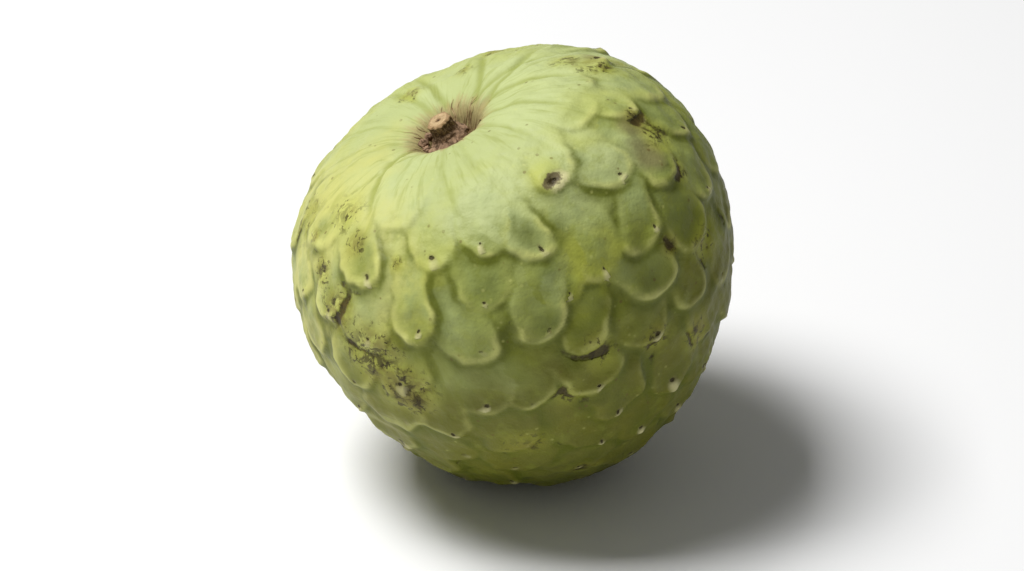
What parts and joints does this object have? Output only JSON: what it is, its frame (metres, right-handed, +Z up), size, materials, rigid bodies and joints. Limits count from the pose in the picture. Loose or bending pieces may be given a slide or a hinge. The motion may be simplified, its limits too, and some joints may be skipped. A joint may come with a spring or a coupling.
{
  "type": "custard apple",
  "caption": "Whole green custard apple with a scaly skin and a short stub of stem, lying on its cheek on a small flat spot.",
  "frame": {"origin": "on the table under the middle of the fruit's box", "axes": "+Z up; the stem end leans 23 degrees towards -X; the scar that faces the viewer is on -Y"},
  "size_m": [0.1002, 0.101, 0.1],
  "materials": {
    "skin": null,
    "bark": "dry brown bark with a pale cut end"
  },
  "bodies": {
    "root": {"fruit": "skin", "stem": "bark"}
  },
  "joints": []
}
